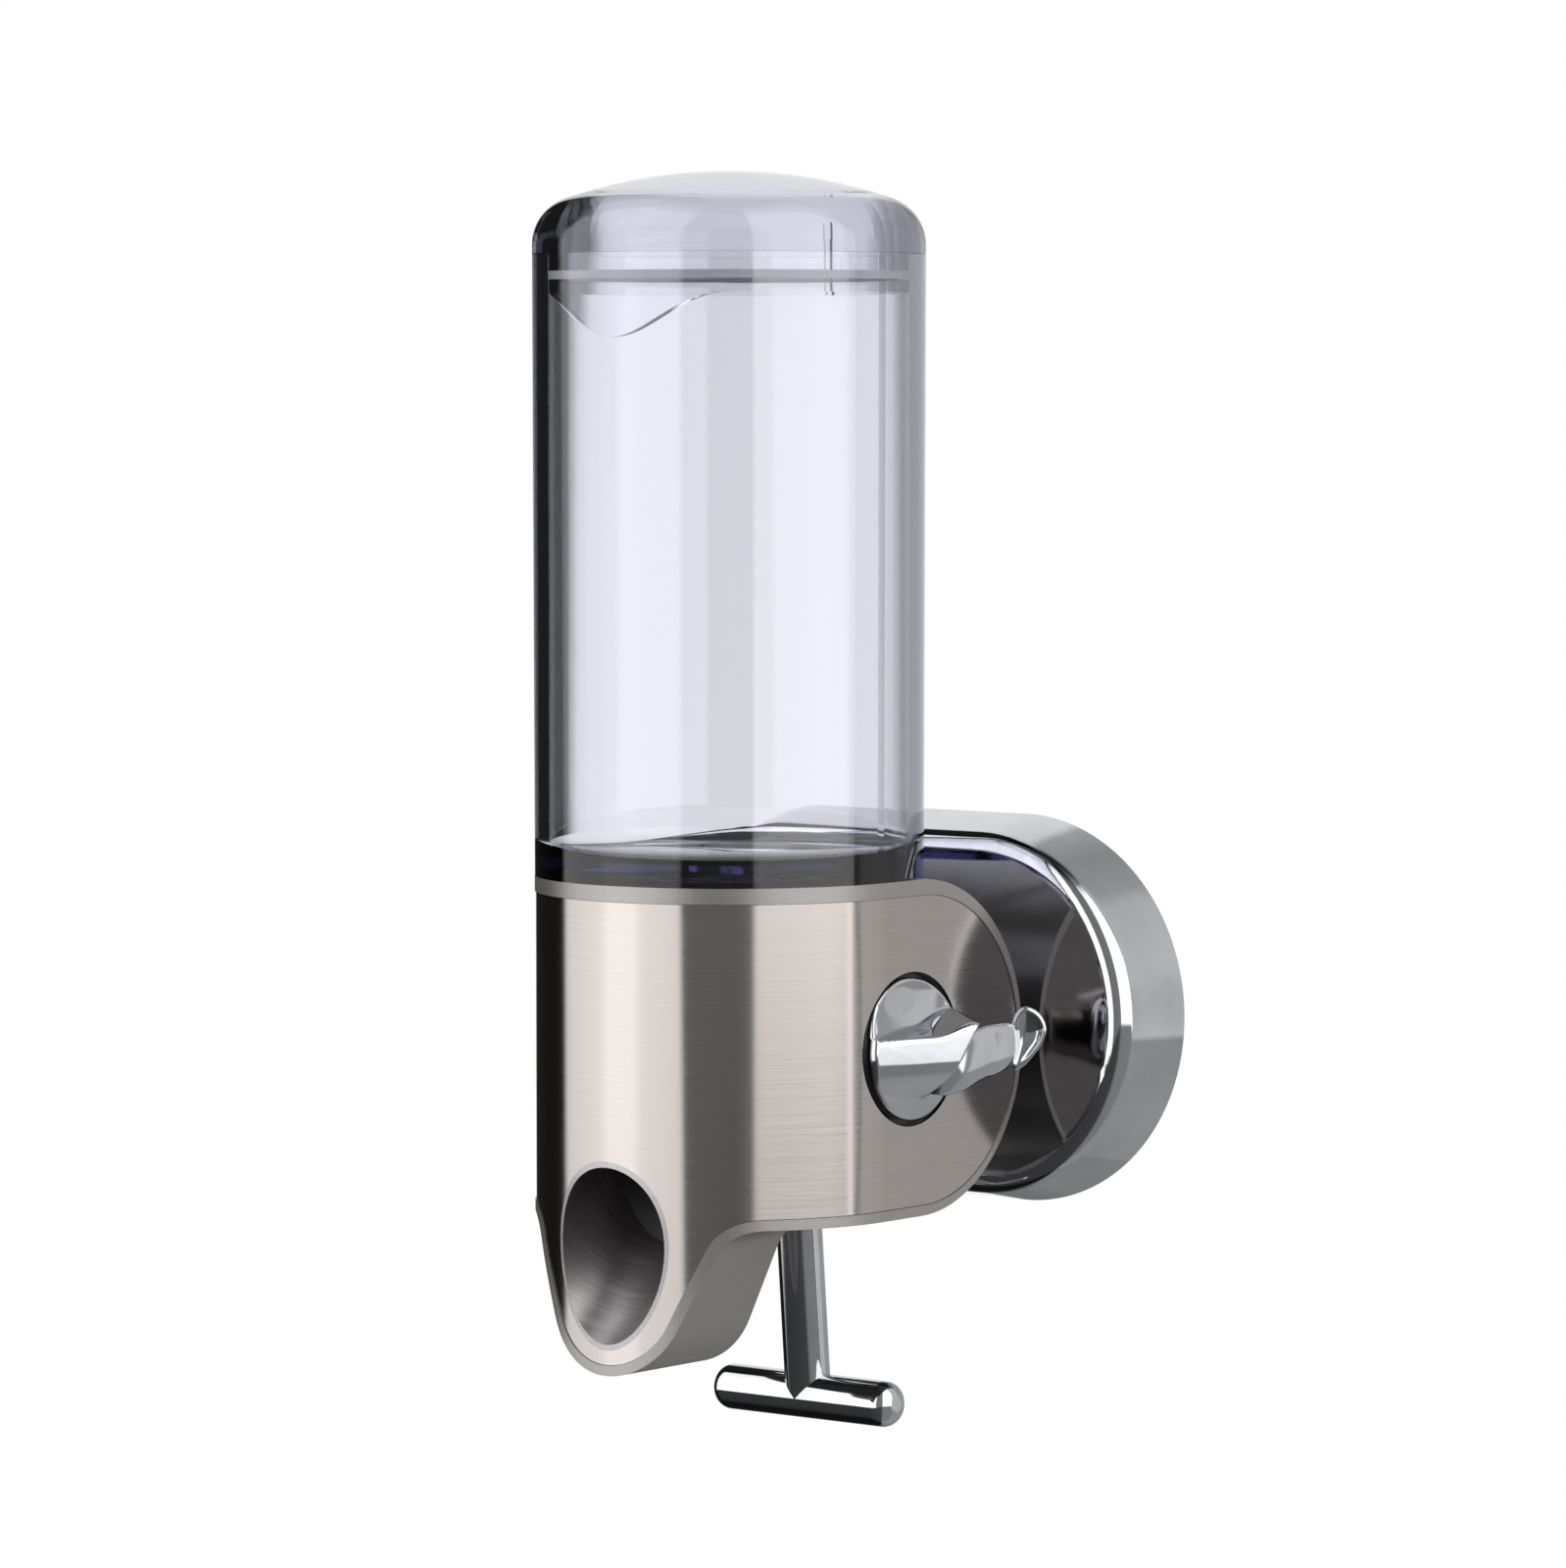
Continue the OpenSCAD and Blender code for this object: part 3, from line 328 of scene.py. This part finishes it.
# Tail: rounded sections, each with its place towards the wall, its centre and its half sizes.
TAIL = [(3.5, 39.6, -3.2, 1.6, 5.6), (7.0, 40.2, -3.2, 2.3, 6.1), (10.5, 40.9, -2.8, 2.4, 5.9),
        (13.5, 41.6, -2.2, 2.2, 5.3), (16.0, 42.2, -1.5, 1.8, 5.1), (18.0, 42.7, -1.3, 1.6, 5.0),
        (20.0, 43.1, -1.0, 1.6, 4.8), (22.5, 43.5, -0.6, 1.5, 4.4), (24.5, 43.8, 0.0, 1.1, 3.4)]
tail_rings = []
for u, x, v, half_x, half_v in TAIL:
    ring = []
    for i in range(48):
        a = 2 * math.pi * i / 48
        ring.append((x + half_x * math.copysign(abs(math.cos(a)) ** 0.75, math.cos(a)), axis_y + u,
                     axis_z + v + half_v * math.copysign(abs(math.sin(a)) ** 0.85, math.sin(a))))
    tail_rings.append(ring)
knob_tail = skin(tail_rings, "knob_tail")

# Leaf: it faces out from the cheek and away from the wall. Its outline in its own plane, then
# rings from the back over the rim into the dish, each with its size and its height.
LEAF = [(-3.0, -5.6), (-3.7, -2.4), (-3.5, 1.6), (-2.5, 5.2), (-0.8, 6.8), (1.2, 6.3), (2.8, 4.8),
        (3.6, 2.5), (3.0, 0.0), (1.4, -2.4), (-0.8, -4.8)]
LEAF_TURN = math.radians(50)
LEAF_PLACE = Vector((46.0, axis_y + 25.6, axis_z))
across = Vector((math.sin(LEAF_TURN), math.cos(LEAF_TURN), 0))
outward = Vector((math.cos(LEAF_TURN), -math.sin(LEAF_TURN), 0))


def smooth_loop(points, count):
    """Points of a smooth closed curve through the given ones."""
    out = []
    n = len(points)
    for i in range(count):
        at = i * n / count
        k, t = int(at), at - int(at)
        p = [Vector(points[(k + j) % n]) for j in (-1, 0, 1, 2)]
        out.append(0.5 * ((2 * p[1]) + (p[2] - p[0]) * t
                          + (2 * p[0] - 5 * p[1] + 4 * p[2] - p[3]) * t * t
                          + (3 * p[1] - p[0] - 3 * p[2] + p[3]) * t ** 3))
    return out


loop = smooth_loop(LEAF, 88)
middle = sum(loop, Vector((0, 0))) / len(loop)
LEAF_RINGS = [(0.35, -2.2), (0.62, -1.9), (0.85, -1.3), (0.97, -0.5), (1.0, 0.1), (0.98, 0.5),
              (0.93, 0.72), (0.82, 0.78), (0.74, 0.6), (0.64, 0.15), (0.4, -0.1), (0.12, -0.15)]
leaf_rings = []
for size, height in LEAF_RINGS:
    spots = [middle + (p - middle) * size for p in loop]
    leaf_rings.append([LEAF_PLACE + across * q[0] + outward * height + Vector((0, 0, q[1]))
                       for q in spots])
knob_leaf = skin(leaf_rings, "knob_leaf")

piece(knob_disc, "lock_knob_disc", bright_chrome, "lock", "chrome", "lock_knob")
piece(knob_tail, "lock_knob_tail", bright_chrome, "lock", "chrome", "lock_knob")
piece(knob_leaf, "lock_knob_leaf", bright_chrome, "lock", "chrome", "lock_knob")

# ---- Studio ----
# A pale floor below, and lights all round as in a product studio: two long soft boxes in front, a
# grey gap between them, a black flag on the left and a white wall behind.

floor_size, floor_drop = 1.5, 0.16
floor_z = cad_box[0][2] - floor_drop
corners = ((-1, -1), (1, -1), (1, 1), (-1, 1))
mesh = bpy.data.meshes.new("studio_floor")
mesh.from_pydata([(x * floor_size, y * floor_size, floor_z) for x, y in corners],
                 [], [(0, 1, 2, 3)])
floor = bpy.data.objects.new("studio_floor", mesh)
bpy.context.scene.collection.objects.link(floor)
paper = bpy.data.materials.new("white_paper")
paper.use_nodes = True
paper_shader = paper.node_tree.nodes["Principled BSDF"]
paper_shader.inputs["Base Color"].default_value = linear("#1c1c1c")
paper_shader.inputs["Roughness"].default_value = 1.0
paper_shader.inputs["Specular IOR Level"].default_value = 0.0
paper_shader.inputs["Emission Color"].default_value = linear("#ffffff")
paper_shader.inputs["Emission Strength"].default_value = 1.0
mesh.materials.append(paper)
floor.visible_glossy = False
floor.visible_diffuse = False

world = bpy.data.worlds.new("studio")
bpy.context.scene.world = world
world.use_nodes = True
tree = world.node_tree
tree.nodes.clear()
way = put(tree, "ShaderNodeSeparateXYZ", {0: put(tree, "ShaderNodeTexCoord").outputs["Generated"]})
back = put(tree, "ShaderNodeMath", {0: way.outputs["Y"], 1: -1.0}, operation="MULTIPLY")
turned = put(tree, "ShaderNodeMath", {0: way.outputs["X"], 1: back.outputs[0]}, operation="ARCTAN2")
azimuth = put(tree, "ShaderNodeMapRange", {
    "Value": turned.outputs[0], "From Min": -math.pi, "From Max": math.pi})
# Light by azimuth, in degrees from the front: right is plus. ROUND is the light at eye level and
# above, UNDER what comes up from below.
ROUND = [(-180, 0.45), (-156, 0.55), (-151, 1.0), (-134, 1.0), (-131, 0.02), (-78, 0.012),
         (-74, 1.5), (-44, 1.9), (-38, 2.3), (-20, 2.3), (-14, 1.9), (9, 1.75), (11, 0.24),
         (52, 0.3), (54, 2.3), (100, 2.5), (113, 2.3), (117, 2.0), (118, 0.45), (121, 0.4),
         (123, 0.8), (141, 0.72), (150, 0.5), (180, 0.45)]
UNDER = [(-180, 0.35), (-150, 0.3), (-132, 0.01), (-80, 0.01), (-60, 0.05), (42, 0.08), (56, 0.3),
         (116, 0.32), (122, 0.42), (142, 0.45), (180, 0.4)]
# Elevation of the lights' lower edge, and the light's fall towards the zenith, in degrees.
FOOT = [(-180, -13), (10, -13), (50, -6), (112, -6), (118, -13), (180, -13)]
RISE = [(-90, 1.0), (48, 1.0), (62, 0.8), (70, 0.15), (80, 0.04), (90, 0.03)]
brightest = 2.5
soft_edge = math.radians(1.2)
around, below = [put(tree, "ShaderNodeValToRGB", {"Fac": azimuth.outputs[0]},
                     stops=[((a + 180) / 360, v / brightest) for a, v in table])
                 for table in (ROUND, UNDER)]
foot = put(tree, "ShaderNodeValToRGB", {"Fac": azimuth.outputs[0]},
           stops=[((a + 180) / 360, -v / 90) for a, v in FOOT])
rise = put(tree, "ShaderNodeMath", {0: way.outputs["Z"]}, operation="ARCSINE")
elevation = put(tree, "ShaderNodeMapRange", {
    "Value": rise.outputs[0], "From Min": -math.pi / 2, "From Max": math.pi / 2})
upward = put(tree, "ShaderNodeValToRGB", {"Fac": elevation.outputs[0]},
             stops=[((a + 90) / 180, v) for a, v in RISE])
above = put(tree, "ShaderNodeMath", {0: foot.outputs[0], 1: math.pi / 2, 2: rise.outputs[0]},
            operation="MULTIPLY_ADD")
lit = put(tree, "ShaderNodeMapRange", {
    "Value": above.outputs[0], "From Min": -soft_edge, "From Max": soft_edge})
level = put(tree, "ShaderNodeMath", {
    0: around.outputs[0], 1: upward.outputs[0]}, operation="MULTIPLY")
mixed = put(tree, "ShaderNodeMix", {
    0: lit.outputs[0], 2: below.outputs[0], 3: level.outputs[0]}, data_type="FLOAT")
light = put(tree, "ShaderNodeMath", {0: mixed.outputs[0], 1: brightest}, operation="MULTIPLY")
# The lights are hidden from the camera itself, which sees plain white.
seen = put(tree, "ShaderNodeLightPath")
soft = put(tree, "ShaderNodeBackground", {"Color": (1, 1, 1, 1), "Strength": light.outputs[0]})
white = put(tree, "ShaderNodeBackground", {"Color": (1, 1, 1, 1), "Strength": 1.0})
either = put(tree, "ShaderNodeMixShader", {
    0: seen.outputs["Is Camera Ray"], 1: soft.outputs[0], 2: white.outputs[0]})
put(tree, "ShaderNodeOutputWorld", {"Surface": either.outputs[0]})

# A long lens from the front right, a little above the body.
camera_data = bpy.data.cameras.new("camera")
camera_data.lens = 154.8
camera_data.sensor_width = 36.0
camera = bpy.data.objects.new("camera", camera_data)
bpy.context.scene.collection.objects.link(camera)
eye, aim = Vector((0.8111, -1.0741, 0.1251)), Vector((0.0081, -0.0576, 0.0464))
camera.location = eye
camera.rotation_mode = "QUATERNION"
camera.rotation_quaternion = (aim - eye).to_track_quat("-Z", "Y")
bpy.context.scene.camera = camera
bpy.context.scene.view_settings.view_transform = "Standard"
